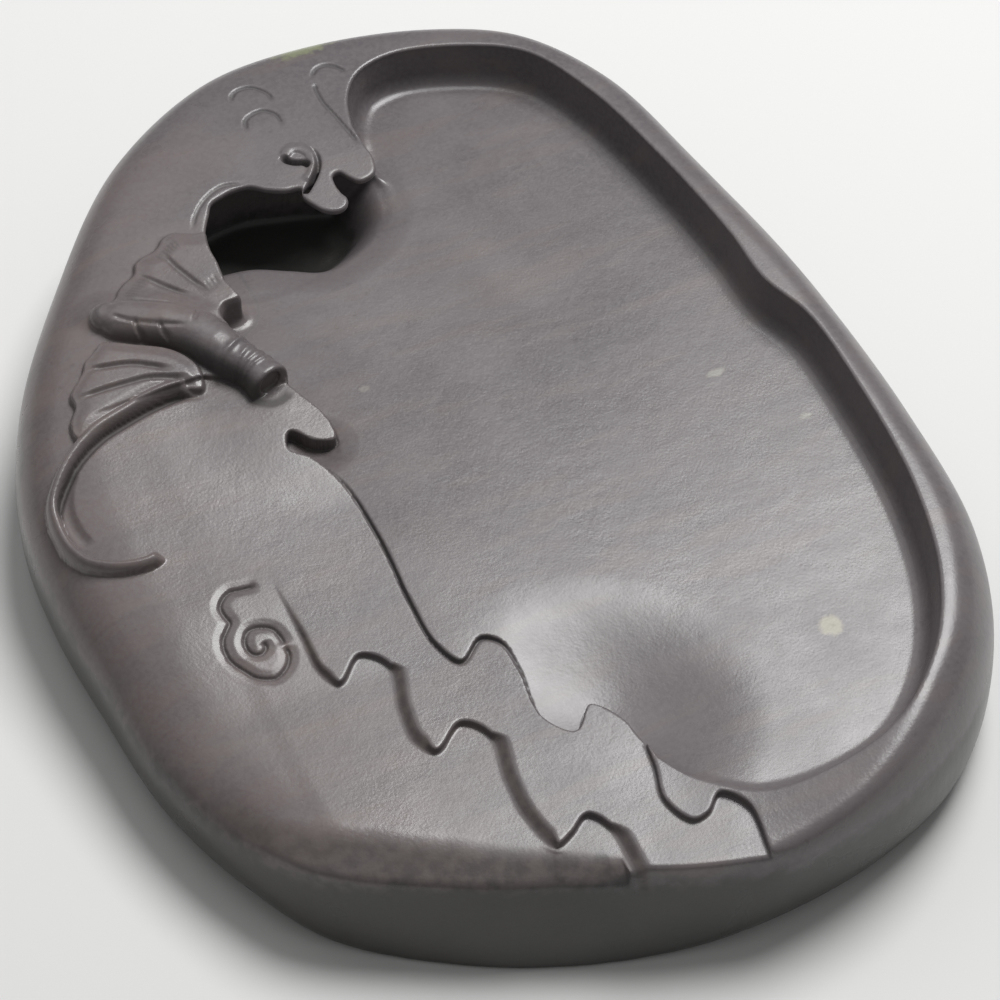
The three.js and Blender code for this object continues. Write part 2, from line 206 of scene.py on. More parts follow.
# Fans of fine strokes: the line they start on, the line they end on, and their number.
WING_STROKES = [
    (((-33.4, 57.4), (-29.2, 59.8)), ((-32.0, 54.4), (-28.6, 56.4)), 7),
    (((-29.4, 47.4), (-25.6, 48.8)), ((-28.2, 44.2), (-25.4, 45.4)), 5),
    (((-42.4, 50.8), (-37.6, 54.2)), ((-39.8, 48.6), (-35.6, 51.4)), 8),
]
LOWER_WING = [
    (-49.3, 42.6), (-51, 41.4), (-53.4, 39.8), (-54.7, 37.7), (-56.1, 36.4), (-58.4, 33.9),
    (-58.5, 31.3), (-59.6, 29.7), (-60.6, 28.2), (-60.6, 24.6), (-56.4, 25.2), (-51.8, 26.3),
    (-46.2, 27.6), (-41, 27.9), (-36.4, 26.6), (-35.4, 31), (-38, 36), (-44, 40),
]
LOWER_WING_RIBS = [
    [(-39.8, 31.3), (-43.1, 33.7), (-46.2, 35.5), (-50.4, 36.6), (-53.8, 37.2)],
    [(-38, 28.8), (-41.1, 30.2), (-44.7, 31.5), (-48.8, 31.9), (-53.2, 32.1), (-57.6, 32)],
]
# Spine of the bat from the tail to the mouth: x, y, half width and height.
BAT_SPINE = [
    (-46.2, 47.4, 3.0, 2.8), (-44.6, 46.2, 3.9, 3.4), (-40.2, 43.6, 4.2, 3.7),
    (-36.2, 41.0, 4.3, 4.1), (-32.8, 37.6, 4.5, 4.5), (-30.8, 33.8, 4.5, 4.8),
    (-29.2, 30.4, 3.9, 4.6), (-27.4, 27.8, 3.5, 4.3), (-26.4, 25.6, 3.6, 4.3),
    (-25.7, 23.4, 4.1, 4.6),
]
BAT_LINE = [(x, y) for x, y, _, _ in BAT_SPINE]
BAT_RINGS = [(5.95, 0.10), (6.7, 0.07), (7.3, 0.07), (7.9, 0.08)]   # place along it, swell
BAT_LINES = [
    [(-46.0, 45.9), (-43.4, 43.4), (-39.2, 40.6), (-34.4, 37.7)],
    [(-42.2, 43.6), (-42.6, 41.5), (-41.6, 39.4)],
    [(-38.4, 41.2), (-38.8, 39.2), (-37.8, 37.2)],
    [(-30.6, 42.2), (-31.6, 40.4), (-33.6, 37.8)],
]
TENDRIL_DISH = [(-62.5, 19.6), (-65.5, 16.4), (-67, 12.2), (-67, 7.3), (-66, 3.6)]
TENDRIL = [
    (-37.2, 27.4), (-41, 28.6), (-46.2, 28.2), (-51.8, 26.9), (-56.9, 25.3), (-62.4, 22.1),
    (-66, 18.9), (-69, 14.9), (-69.9, 10.6), (-69.7, 5.1), (-68, 0.8), (-65.5, -1.6),
    (-62.1, -3.3), (-58.2, -3.7), (-56.1, -2.8),
]
SCROLL = [
    (-43.4, -14.6), (-46.7, -14.2), (-48.5, -14.0), (-50.4, -15.2), (-51.2, -16.6),
    (-51.1, -18.5), (-50.8, -19.7), (-51.9, -21), (-53.1, -22.4), (-53.7, -24.4),
    (-53.5, -26.9), (-52.3, -29.2), (-51.1, -31.1), (-49.5, -32.2), (-47.9, -32.6),
    (-45.6, -31.4), (-44.3, -29.5), (-44.1, -27.4),
]
SPIRAL = [
    (-44.1, -27.4), (-44.2, -25.3), (-44.9, -23.4), (-47, -22.3), (-48.6, -22.4),
    (-49.8, -23.7), (-50.2, -25.3), (-49.6, -27), (-48.4, -27.4), (-47.1, -26.5),
    (-47.2, -25.3),
]
VOLUTE_SLIT = [(-2.2, 61.2), (-0.4, 62.9), (1.4, 64.9), (2.6, 67.0), (2.9, 69.4), (2.2, 71.4)]
VOLUTE_EYE = [(-3.0, 71.0), (-2.4, 69.4), (-1.2, 68.4), (0.2, 67.8), (0.8, 66.4)]
VOLUTE_BAND = [
    (-1.6, 63.2), (0.4, 64.6), (1.8, 66.8), (2.0, 69.2), (1.0, 71.2), (-0.8, 71.9), (-2.0, 71.0),
    (-1.6, 70.0),
]
CLOUD_LINES = [
    [(-6.1, 87.3), (-4.6, 89.6), (-1.5, 89.7), (0.9, 87), (1.3, 84.5)],
    [(-6.2, 79), (-5.3, 82.1), (-1.9, 83.1), (0.1, 81.3), (0.4, 77.7)],
    [(9.8, 87), (11.9, 89.2), (14.1, 89.1), (15.6, 87.5), (16.7, 85.7)],
    [(10, 85.7), (9.5, 83.9), (9.4, 80.1), (9.9, 77.1), (10.7, 71.6), (11.3, 67.5)],
]
BEAD_LINE = [(-24.6, 60.5), (-22.6, 63.9), (-19.4, 66.9), (-15.5, 68.4), (-10.6, 66.9)]


# ---- arithmetic on fields --------------------------------------------------------------
def blend(value, start, end):
    """A smooth step from 0 to 1 while value goes from start to end."""
    t = np.clip((value - start) / (end - start), 0, 1)
    return t * t * (3 - 2 * t)


def mound(x, y, centre, reach, flat=0):
    """1 round a centre, out to a radius of flat, and 0 beyond reach."""
    return blend(np.hypot(x - centre[0], y - centre[1]), reach, flat)


def ramp(value, softness):
    """value where it is well above 0, and 0 well below, with a soft turn between."""
    return (value + np.sqrt(value * value + softness * softness)) / 2


def smooth_min(a, b, radius):
    """The smaller of two fields, with their meeting rounded over."""
    dip = np.maximum(radius - np.abs(a - b), 0)
    return np.minimum(a, b) - dip * dip / (4 * radius)


def smooth_max(a, b, radius):
    """The larger of two fields, with their meeting rounded over."""
    return -smooth_min(-a, -b, radius)


# ---- the grid and its plan maps --------------------------------------------------------
GRID_LOW = np.array((-75.2, -100.4, 0.0)) - MARGIN
GRID_HIGH = np.array((75.2, 100.4, 29.5)) + MARGIN
COUNTS = np.ceil((GRID_HIGH - GRID_LOW) / VOXEL).astype(int) + 1
XS, YS, ZS = (
    (GRID_LOW[k] + VOXEL * np.arange(COUNTS[k])).astype(np.float32) for k in range(3))
X, Y = np.meshgrid(XS, YS, indexing="ij")


def grid_part(low, high):
    """The part of the grid between two plan corners."""
    first = np.floor((low - GRID_LOW[:2]) / VOXEL).astype(int)
    last = np.ceil((high - GRID_LOW[:2]) / VOXEL).astype(int) + 1
    first, last = np.maximum(first, 0), np.maximum(last, 0)
    return slice(first[0], last[0]), slice(first[1], last[1])


def spline(points, closed=False, step=0.6):
    """Points along a centripetal Catmull-Rom curve, with the place of each in the list."""
    p = np.array(points, float)
    if closed:
        p = np.vstack([p[-1], p, p[0], p[1]])
    else:
        p = np.vstack([2 * p[0] - p[1], p, 2 * p[-1] - p[-2]])
    out, places = [], []
    for i in range(1, len(p) - 2):
        a, b, c, d = p[i - 1:i + 3]
        knots = np.cumsum([0, *(max(math.dist(*pair), 1e-6) ** 0.5
                                for pair in ((a, b), (b, c), (c, d)))])
        count = max(2, math.ceil(math.dist(b, c) / step))
        t = np.linspace(knots[1], knots[2], count, endpoint=False)[:, None]
        ab = (a * (knots[1] - t) + b * (t - knots[0])) / (knots[1] - knots[0])
        bc = (b * (knots[2] - t) + c * (t - knots[1])) / (knots[2] - knots[1])
        cd = (c * (knots[3] - t) + d * (t - knots[2])) / (knots[3] - knots[2])
        abc = (ab * (knots[2] - t) + bc * (t - knots[0])) / (knots[2] - knots[0])
        bcd = (bc * (knots[3] - t) + cd * (t - knots[1])) / (knots[3] - knots[1])
        out.append((abc * (knots[2] - t) + bcd * (t - knots[1])) / (knots[2] - knots[1]))
        places.append(i - 1 + np.arange(count) / count)
    if not closed:
        out.append(p[-2][None, :])
        places.append(np.array([len(points) - 1.0]))
    return np.vstack(out), np.concatenate(places)


def nearest(curve, places, reach, closed=False):
    """Distance from each grid point to a curve, up to reach, and the nearest place on it."""
    distance = np.full(X.shape, reach, np.float32)
    place = np.zeros(X.shape, np.float32)
    if closed:
        curve = np.vstack([curve, curve[:1]])
        places = np.append(places, math.ceil(places[-1] + 1e-6))
    for (a, b), (start, end) in zip(
            zip(curve[:-1], curve[1:]), zip(places[:-1], places[1:])):
        part = grid_part(np.minimum(a, b) - reach, np.maximum(a, b) + reach)
        dx, dy = X[part] - a[0], Y[part] - a[1]
        ex, ey = b - a
        t = np.clip((dx * ex + dy * ey) / max(ex * ex + ey * ey, 1e-12), 0, 1)
        d = np.hypot(dx - t * ex, dy - t * ey)
        closer = d < distance[part]
        distance[part] = np.where(closer, d, distance[part])
        place[part] = np.where(closer, start + t * (end - start), place[part])
    return distance, place


def inside(curve):
    """True at each grid point inside a closed curve."""
    mask = np.zeros(X.shape, bool)
    a, b = curve, np.roll(curve, -1, axis=0)
    for j, y in enumerate(YS):
        crossed = (a[:, 1] > y) != (b[:, 1] > y)
        p, q = a[crossed], b[crossed]
        at = np.sort(p[:, 0] + (y - p[:, 1]) * (q[:, 0] - p[:, 0]) / (q[:, 1] - p[:, 1]))
        mask[:, j] = np.searchsorted(at, XS) % 2 == 1
    return mask


def region(curve, reach):
    """Signed distance to a closed curve, negative inside, up to reach."""
    places = np.arange(len(curve), dtype=float)
    distance, _ = nearest(curve, places, reach, closed=True)
    return np.where(inside(curve), -distance, distance).astype(np.float32)


def closed_region(points, reach):
    """Signed distance to the closed spline through the points."""
    return region(spline(points, closed=True)[0], reach)


def along(points, reach):
    """Distance to the open spline through the points, and the place along it."""
    return nearest(*spline(points), reach)


def chain(*lists):
    """One closed outline from open curves that follow each other."""
    return np.vstack([spline(points)[0] for points in lists])


# ---- heights of the faces --------------------------------------------------------------
def top_face(x, y):
    """The uncut top: low at the near left, and high along the rim and at the far end."""
    low = (1 - blend(y, *TOP_RISE_Y)) * (1 - blend(x, *TOP_RISE_X))
    return RIM_HEIGHT - (RIM_HEIGHT - FIELD_HEIGHT) * low


def pool_floor(x, y, mouth):
    """The pool floor, given the distance to the mouth of the well."""
    scoop = SCOOP_DEPTH * mound(x, y, SCOOP, SCOOP_REACH)
    pocket = POCKET_DEPTH * mound(x, y, POCKET, POCKET_REACH, flat=1)
    dip = WELL_DIP * blend(mouth, WELL_DIP_REACH, 0)
    level = POOL_LEVEL + POOL_RISE * blend(x, *POOL_RISE_X) - scoop - pocket - dip
    return level + (WELL_FLOOR - level) * blend(mouth, *WELL_BREAK)


def lobe(x, y):
    """1 on the lobe that juts over the pool beside the bat's mouth."""
    return mound(x, y, LOBE, LOBE_REACH, flat=3)


def apron_face(x, y):
    """The apron between the ledges, which climbs to the left and to the far end."""
    to_left, to_far_end = ramp(-26 - x, 12), ramp(y + 3, 14)
    climb = APRON_SLOPE * (to_left + to_far_end) - APRON_DROP
    at_near_end = blend(y, -60, -80)
    return FIELD_HEIGHT + climb + LOBE_RISE * lobe(x, y) - APRON_DIP * at_near_end


# ---- the slab --------------------------------------------------------------------------
def quarter(inset, rise, width, height, power):
    """Distance to a quarter of a superellipse: width inwards, height away from the belly."""
    across = np.maximum(1 - inset / width, 0)[..., None]
    away = np.maximum(rise / height, 0)
    radial = np.maximum((across ** power + away ** power) ** (1 / power), 1e-6)
    slope = np.hypot((across / radial) ** (power - 1) / np.asarray(width)[..., None],
                     (away / radial) ** (power - 1) / height)
    return (radial - 1) / np.maximum(slope, 1e-3)


def outline_map():
    """How far each grid point is inside the outline, and the nearest place on it."""
    curve, places = spline(OUTLINE, closed=True, step=2.0)
    distance, place = nearest(curve, places, 22.0, closed=True)
    return np.where(inside(curve), distance, -distance).astype(np.float32), place


def slab(inset, level):
    """The uncut slab, rounded from its belly up to level and down to its underside."""
    # The shoulder is fuller at the far end and along the near edge, and softer at the right.
    far = blend(Y, 30, 85)
    right = blend(X, -10, 50) * blend(Y, 80, 30)
    near = blend(Y, -55, -85) * blend(X, 50, 20)
    power = 2.9 + 0.7 * far - 0.6 * right + 2.0 * near
    width = SHOULDER * (1 + SHOULDER_SPREAD * blend(X, 20, -60)) * (1 - 0.4 * near)
    height = level[..., None] - BELLY_HEIGHT
    upper = quarter(inset, ZS - BELLY_HEIGHT, width, height, power[..., None])
    lower = quarter(inset, BELLY_HEIGHT - ZS, np.full_like(X, FOOT), BELLY_HEIGHT, 2.3)
    return np.where(ZS > BELLY_HEIGHT, upper, lower).astype(np.float32)


def near_left(inset, place):
    """The bevel, the steep side below it, and how far each point is inside the bevel."""
    at, foot, crease, edge = np.array(BEVEL).T
    foot, crease, edge = (np.interp(place, at, column) for column in (foot, crease, edge))
    slope = (BEVEL_HEIGHT - CREASE_HEIGHT) / (edge - crease)
    ground = CREASE_HEIGHT + (inset - crease) * slope
    # The bevel lies between places 15 and 18.9 of the outline.
    ground += BEVEL_LIFT * (blend(place, 15.0, 14.2) + blend(place, 18.9, 19.5))
    bevel = (ZS - ground[..., None]) / np.sqrt(1 + slope * slope)[..., None]
    lean = (crease - foot) / CREASE_HEIGHT
    wall = foot[..., None] + lean[..., None] * ZS - inset[..., None]
    reach = np.minimum(edge - inset, 2 * (inset - crease))
    reach *= blend(place, 14.4, 15.4) * blend(place, 18.9, 18.3)
    return bevel.astype(np.float32), wall.astype(np.float32), reach


# ---- cutting ---------------------------------------------------------------------------
def cut(field, side, floor, edge, foot):
    """Removes what lies inside a plan region and above a floor."""
    hollow = smooth_max(side, floor[..., None] - ZS, foot)
    return smooth_max(field, -hollow, edge)


def edge_radius(full, step, low, high):
    """Rounding of a step's edge: full where the step is high, and none where it dies out."""
    return (SHARP + (full - SHARP) * blend(step, low, high))[..., None]


def cut_pool(field, top):
    """Cuts the pool and the well, and gives the distance to the pool's outline."""
    pool = region(chain(RIM_EDGE, INNER_LEDGE, BAT_SIDE, CLOUD_LIP), 8.0)
    floor = pool_floor(X, Y, closed_region(WELL_MOUTH, 10.0))
    # The rim's wall leans back below its rounded edge.
    lean = RIM_LEAN * blend(X, 6, 18)
    batter = lean[..., None] * np.maximum(top[..., None] - RIM_EDGE_DEPTH - ZS, 0)
    # The floor meets the inner ledge sharply and the rim in a broad cove.
    by_rim = np.maximum(blend(X, -2, 8), blend(Y, 24, 30))[..., None]
    cove = LEDGE_COVE + (COVE - LEDGE_COVE) * by_rim
    field = cut(field, pool[..., None] + batter, floor, edge=0.6, foot=cove)
    # The underside of the lip slopes down from a thin edge to the back of the well.
    well = closed_region(WELL, 8.0)[..., None]
    thickness = LIP_EDGE + (LIP_THICKNESS - LIP_EDGE) * blend(pool, 0, LIP_REACH)
    hollow = smooth_max(well, floor[..., None] - ZS, COVE)
    hollow = smooth_max(hollow, ZS - (top - thickness)[..., None], radius=0.6)
    return smooth_max(field, -hollow, radius=0.5), pool


def cut_apron(field, top, face):
    """Lowers the apron, and all that lies beyond it, to its face."""
    outside = [(-29, 26), (-36, 30), (-90, 30), (-90, -115), (9.2, -115)]
    near = spline(NEAR_CREASE)[0][::-1]
    apron = region(np.vstack([spline(INNER_LEDGE)[0], outside, near]), 6.0)
    edge = edge_radius(APRON_EDGE, top - face, 0.05, 0.6)
    return cut(field, apron[..., None], face, edge, foot=APRON_EDGE)


def cut_field(field, face, drop):
    """Lowers the field by drop, and gives the distance to its edge and the chamfer widths."""
    ledge, places = spline(OUTER_LEDGE)
    outside = [(-90, -12), (-90, -115), (-11.4, -115)]
    outer = region(np.vstack([outside, ledge[::-1], [(-40.8, -12)]]), 6.0)
    chamfer = np.interp(nearest(ledge, places, 6.0)[1], *np.array(CHAMFERS).T)
    run = chamfer / LEDGE_DROP
    lower = face - drop
    rise = np.maximum(ZS - lower[..., None], 0)
    side = (outer[..., None] - run[..., None] * rise) / np.sqrt(1 + run * run)[..., None]
    edge = edge_radius(LEDGE_EDGE, drop, 0.02, 0.5)
    return cut(field, side, lower, edge, foot=LEDGE_EDGE), outer, chamfer


# ---- carving in low relief -------------------------------------------------------------
class Carving:
    """Heights of the low carving above the plain faces, and the shade painted into its grooves.
    """

    def __init__(self):
        self.relief = np.zeros(X.shape, np.float32)
        # A plan map of the shade painted into the carving.
        self.painted_shade = np.zeros(X.shape, np.float32)

    def add_shade(self, amount):
        """Adds painted shade where there is less of it."""
        self.painted_shade = np.maximum(self.painted_shade, amount)

    def profile(self, points, width, taper, power):
        """1 in the middle of a line and 0 at its sides, falling away over its ends."""
        distance, place = along(points, width)
        ends = blend(np.minimum(place, len(points) - 1 - place), 0, taper)
        return ends * np.clip(1 - (2 * distance / width) ** 2, 0, 1) ** power

    def groove(self, points, width, depth, taper=0.6, painted_shade=0.8):
        profile = self.profile(points, width, taper, power=1.5)
        self.relief -= depth * profile
        # Painted shade lies along the groove.
        self.add_shade(painted_shade * blend(profile, 0.1, 0.8))

    def ridge(self, points, width, height, taper):
        raised = height * self.profile(points, width, taper, power=0.5)
        self.relief = np.where(raised > 0, np.maximum(self.relief, raised), self.relief)

    def plate(self, outline, height, slope, crown, crown_reach):
        """Raises what lies inside an outline. Its sides climb over slope, and its middle
        swells by crown."""
        away = closed_region(outline, 6.0)
        self.relief += height * blend(-away, -0.1, slope)
        # A line of painted shade follows the plate's edge.
        self.add_shade(0.5 * blend(np.abs(away), 0.5, 0.1))
        self.relief += crown * blend(-away, 0.5, crown_reach)

    def strokes(self, start, end, count):
        """A fan of short fine grooves from one line to another."""
        for part in np.linspace(0, 1, count):
            first, last = (np.array(side[0]) * (1 - part) + np.array(side[1]) * part
                           for side in (start, end))
            self.groove([first, (first + last) / 2, last], width=0.8, depth=0.1, taper=0.7,
                        painted_shade=0.45)


def carve_wings(carving):
    """The two wings, and the slope and the painted shade along the foot of the bat's body."""
    carving.plate(UPPER_WING, height=0.9, slope=0.7, crown=0.6, crown_reach=4.0)
    for rib in UPPER_WING_RIBS:
        carving.groove(rib, width=1.6, depth=0.4, taper=0.8, painted_shade=0.5)
    for fan in WING_STROKES:
        carving.strokes(*fan)
    carving.plate(LOWER_WING, height=1.3, slope=0.5, crown=0.5, crown_reach=3.0)
    for rib in LOWER_WING_RIBS:
        carving.groove(rib, width=1.6, depth=0.6, taper=0.8, painted_shade=0.6)
    # The bat's back slopes down from its ridge into the upper wing.
    back, _ = along(BAT_LINE[:6], 8.0)
    far_side = blend(Y + 0.7 * X, 10, 16)
    carving.relief += BAT_BACK * blend(back, 7.5, 1.0) * far_side
    # Painted shade lies along the foot of the bat's body, on its near side, away from the light.
    body, place = along(BAT_LINE, 8.0)
    near_side = blend(0.74 * X + 0.67 * Y, -1.5, -4) * blend(place, 0.5, 3)
    carving.add_shade(near_side * blend(body, 2.0, 3.4) * blend(body, 5.2, 4.2))


def carve_tendril(carving):
    """A round cord with a groove along its near side, painted dark as the shadow under the lower
    wing, and a shallow dish inside its curl.
    """
    near_side = [(x + 0.7, y - 1.6) for x, y in TENDRIL[:9]]
    # Painted shadow from the lower wing darkens this groove.
    carving.groove(near_side, width=1.7, depth=0.6, taper=1.5, painted_shade=1.0)
    carving.ridge(TENDRIL, width=2.4, height=2.0, taper=0.8)
    carving.groove(TENDRIL_DISH, width=2.6, depth=0.35, painted_shade=0.2)


def carve_scroll(carving):
    """A coil with a sunken outline and a spiral line, each a fine cut in a broad hollow."""
    for line in (SCROLL, SPIRAL):
        carving.groove(line, width=3.4, depth=0.22, taper=0.5, painted_shade=0.0)
        carving.groove(line, width=0.95, depth=0.5, taper=0.5, painted_shade=0.6)


def carve_cloud(carving):
    """The volute at the end of the lip, and the lines of the cloud head."""
    carving.ridge(VOLUTE_BAND, width=2.2, height=0.35, taper=0.5)
    # The slit is open at the lip and dies out further in.
    distance, place = along(VOLUTE_SLIT, 1.0)
    slit = blend(place, 5, 1.5) * blend(distance, 0.7, 0.1)
    carving.relief -= SLIT_DEPTH * slit
    # Painted shade fills the slit.
    carving.add_shade(slit)
    carving.groove(VOLUTE_EYE, width=1.6, depth=1.6, taper=0.7, painted_shade=1.0)
    for line in CLOUD_LINES:
        carving.groove(line, width=1.2, depth=0.3)
    carving.groove(BEAD_LINE, width=1.1, depth=0.25, taper=0.8, painted_shade=0.6)


def carve():
    """All the low carving."""
    carving = Carving()
    carve_wings(carving)
    carve_tendril(carving)
    # A fine line follows the inner ledge.
    carving.groove(INNER_LEDGE, width=0.8, depth=0.35, painted_shade=0.7)
    carve_scroll(carving)
    carve_cloud(carving)
    return carving


def add_bat(field):
    """Adds the bat's body: a domed ridge with steep sides along its spine."""
    spine = np.array(BAT_SPINE)
    part = grid_part(spine[:, :2].min(axis=0) - 7, spine[:, :2].max(axis=0) + 7)
    distance, place = (values[part] for values in along(BAT_LINE, 8.0))
    order = np.arange(len(spine))
    swell = 1 + sum(rise * np.exp(-((place - at) / BAT_RING) ** 2) for at, rise in BAT_RINGS)
    half = np.interp(place, order, spine[:, 2]) * swell
    height = np.interp(place, order, spine[:, 3]) * swell
    ground = np.minimum(top_face(X[part], Y[part]), apron_face(X[part], Y[part]))
    across = (distance / half)[..., None] ** BAT_POWER
    up = (np.maximum(ZS - ground[..., None], 0) / height[..., None]) ** BAT_POWER
    radial = (across + up) ** (1 / BAT_POWER)
    body = (radial - 1) * np.minimum(half, height)[..., None]
    lines = Carving()
    for line in BAT_LINES:
        lines.groove(line, width=1.1, depth=0.3, taper=0.5)
    body -= lines.relief[part][..., None]
    # The mouth is cut off square, and hollow.
    end, before = spine[-1, :2], spine[-2, :2]
    way = (end - before) / math.dist(end, before)
    beyond = (X[part] - end[0]) * way[0] + (Y[part] - end[1]) * way[1]
    body = smooth_max(body, (beyond - 0.9)[..., None], radius=0.5)
    middle = ground[..., None] + BAT_BORE_HEIGHT
    bore = np.sqrt((distance ** 2)[..., None] + (ZS - middle) ** 2) - BAT_BORE
    bore = np.maximum(bore, -(beyond - 0.1)[..., None])
    body = smooth_max(body, -bore, radius=0.4)
    # It is rooted in the slab, and goes no deeper than the carving.
    body = np.maximum(body, RELIEF_FROM - ZS)
    field[part] = smooth_min(field[part], body.astype(np.float32), radius=0.3)


# ---- the stone -------------------------------------------------------------------------
def build():
    """The stone's field, and plan maps of its rough skin and of the shade painted into its
    grooves and along the bat's body.
    """
    top = top_face(X, Y)
    # The apron dies softly into the top face, except on the lobe.
    face = smooth_min(apron_face(X, Y), top + LOBE_KEEP * lobe(X, Y), radius=3.0)
    drop = LEDGE_DROP * blend(Y, *LEDGE_FADE_Y)
    low = blend(X, *LOW_SHOULDER_X) * blend(Y, *LOW_SHOULDER_Y)
    inset, place = outline_map()
    field = slab(inset, top - (top - face + drop) * low)
    field, pool = cut_pool(field, top)
    field = cut_apron(field, top, face)
    field, outer, chamfer = cut_field(field, face, drop)
    # Only the field is bevelled; the apron runs on flat to the near edge.
    bevel, wall, reach = near_left(inset, place)
    beside = blend(outer, 1.0, -1.0)
    bevel = bevel - (BEVEL_CLEAR * (1 - beside))[..., None]
    field = smooth_max(field, bevel, radius=0.8)
    field = smooth_max(field, wall, radius=1.0)
    carving = carve()
    relief = carving.relief * blend(pool, -0.4, 0.3)
    field -= relief[..., None] * blend(ZS, *RELIEF_Z)
    add_bat(field)
    # Rough skin is left on the broad chamfers of the outer ledge and on the bevel.
    on_chamfer = blend(np.abs(outer - chamfer / 2), chamfer / 2 + 0.4, 0)
    on_bevel = BEVEL_SKIN * blend(reach, -0.5, 2.5) * beside
    skin = np.maximum(blend(chamfer, 0.3, 1.0) * on_chamfer, on_bevel)
    return field, skin, carving.painted_shade


def surface(field):
    """The mesh of a field's zero level, in metres."""
    band = BAND * VOXEL
    grid = openvdb.FloatGrid(band)
    grid.copyFromArray(np.clip(field, -band, band), tolerance=0.0)
    points, triangles, quads = grid.convertToPolygons(isovalue=0.0, adaptivity=0.0)
    points = (points * VOXEL + GRID_LOW) * MM
    mesh = bpy.data.meshes.new("carved_stone")
    # Each face is turned round, to face out of the stone.
    corners = np.concatenate([quads[:, ::-1].ravel(), triangles[:, ::-1].ravel()])
    starts = np.concatenate([4 * np.arange(len(quads)),
                             4 * len(quads) + 3 * np.arange(len(triangles))])
    mesh.vertices.add(len(points))
    mesh.vertices.foreach_set("co", points.astype(np.float32).ravel())
    mesh.loops.add(len(corners))
    mesh.loops.foreach_set("vertex_index", corners.astype(np.int32))
    mesh.polygons.add(len(starts))
    mesh.polygons.foreach_set("loop_start", starts.astype(np.int32))
    mesh.update(calc_edges=True)
    mesh.validate()
    return mesh


def paint(mesh, name, values):
    """Gives each vertex the value of a plan map above it, down to the foot of the carving."""
    points = np.empty(3 * len(mesh.vertices), np.float32)
    mesh.vertices.foreach_get("co", points)
    cell = (points.reshape(-1, 3)[:, :2] / MM - GRID_LOW[:2]) / VOXEL
    cell = np.clip(np.rint(cell).astype(int), 0, np.array(X.shape) - 1)
    painted = values[cell[:, 0], cell[:, 1]] * blend(points[2::3] / MM, *RELIEF_Z)
    layer = mesh.attributes.new(name, "FLOAT", "POINT")
    layer.data.foreach_set("value", painted.astype(np.float32))


def link(name, data):
    """Puts a new object in the scene."""
    piece = bpy.data.objects.new(name, data)
    bpy.context.scene.collection.objects.link(piece)
    return piece


def ink_stone():
    """The stone as one piece, in the place of its CAD solid."""
    field, skin, painted_shade = build()
    stone = link("carved_stone", surface(field))
    paint(stone.data, "skin", skin)
    # The shade painted into the grooves and along the bat's body.
    paint(stone.data, "painted_shade", painted_shade)
    stone.data.materials.append(slate())
    stone.data.shade_smooth()
    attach(stone, "root")
    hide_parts("inkstone")


# ---- the rock --------------------------------------------------------------------------
DARK_CLOUD = (0.112, 0.100, 0.107, 1)
PALE_CLOUD = (0.154, 0.136, 0.140, 1)
WARM_ROCK = (0.156, 0.122, 0.117, 1)
BAND_ROCK = (0.104, 0.095, 0.103, 1)
VEIN = (0.188, 0.150, 0.138, 1)
SPECK = (0.085, 0.072, 0.072, 1)
GRAIN = (0.172, 0.155, 0.155, 1)
DARK_BARK = (0.062, 0.051, 0.047, 1)
PALE_BARK = (0.108, 0.090, 0.081, 1)
# Colour of the painted shade in the grooves and along the bat's body.
SHADE_COLOUR = (0.045, 0.040, 0.040, 1)
RAW_SIDE = (0.044, 0.046, 0.042, 1)
RAW_SIDE_Z = (17.5, 13.0)         # the raw side comes in
RAW_LIFT = 2.5                    # how much higher it reaches at the near end
RAW_LIFT_Y = (-60.0, -85.0)
BUMP = 0.00018                    # metres
# Pale green inclusions: centre, radius, softness, colour, shape and strength.
INCLUSIONS = [
    ((39.6, -61.8, 20.2), 2.0, 0.5, (0.30, 0.285, 0.215, 1), (1, 1, 1), 1.0),
    ((39.9, -61.9, 20.2), 0.5, 0.3, (0.22, 0.21, 0.15, 1), (1, 1, 1), 1.0),
    ((47.8, -3.6, 20.5), 1.0, 0.4, (0.27, 0.26, 0.23, 1), (1.7, 0.8, 3), 1.0),
    ((57.4, -19.1, 20.6), 0.8, 0.4, (0.25, 0.24, 0.21, 1), (1.4, 0.8, 3), 1.0),
    ((-9.8, 18.2, 22.0), 0.8, 0.4, (0.23, 0.22, 0.20, 1), (1.3, 0.7, 3), 0.7),
    ((11.5, 95.7, 27.6), 1.0, 0.35, (0.215, 0.225, 0.145, 1), (5.2, 2.0, 4), 1.0),
]


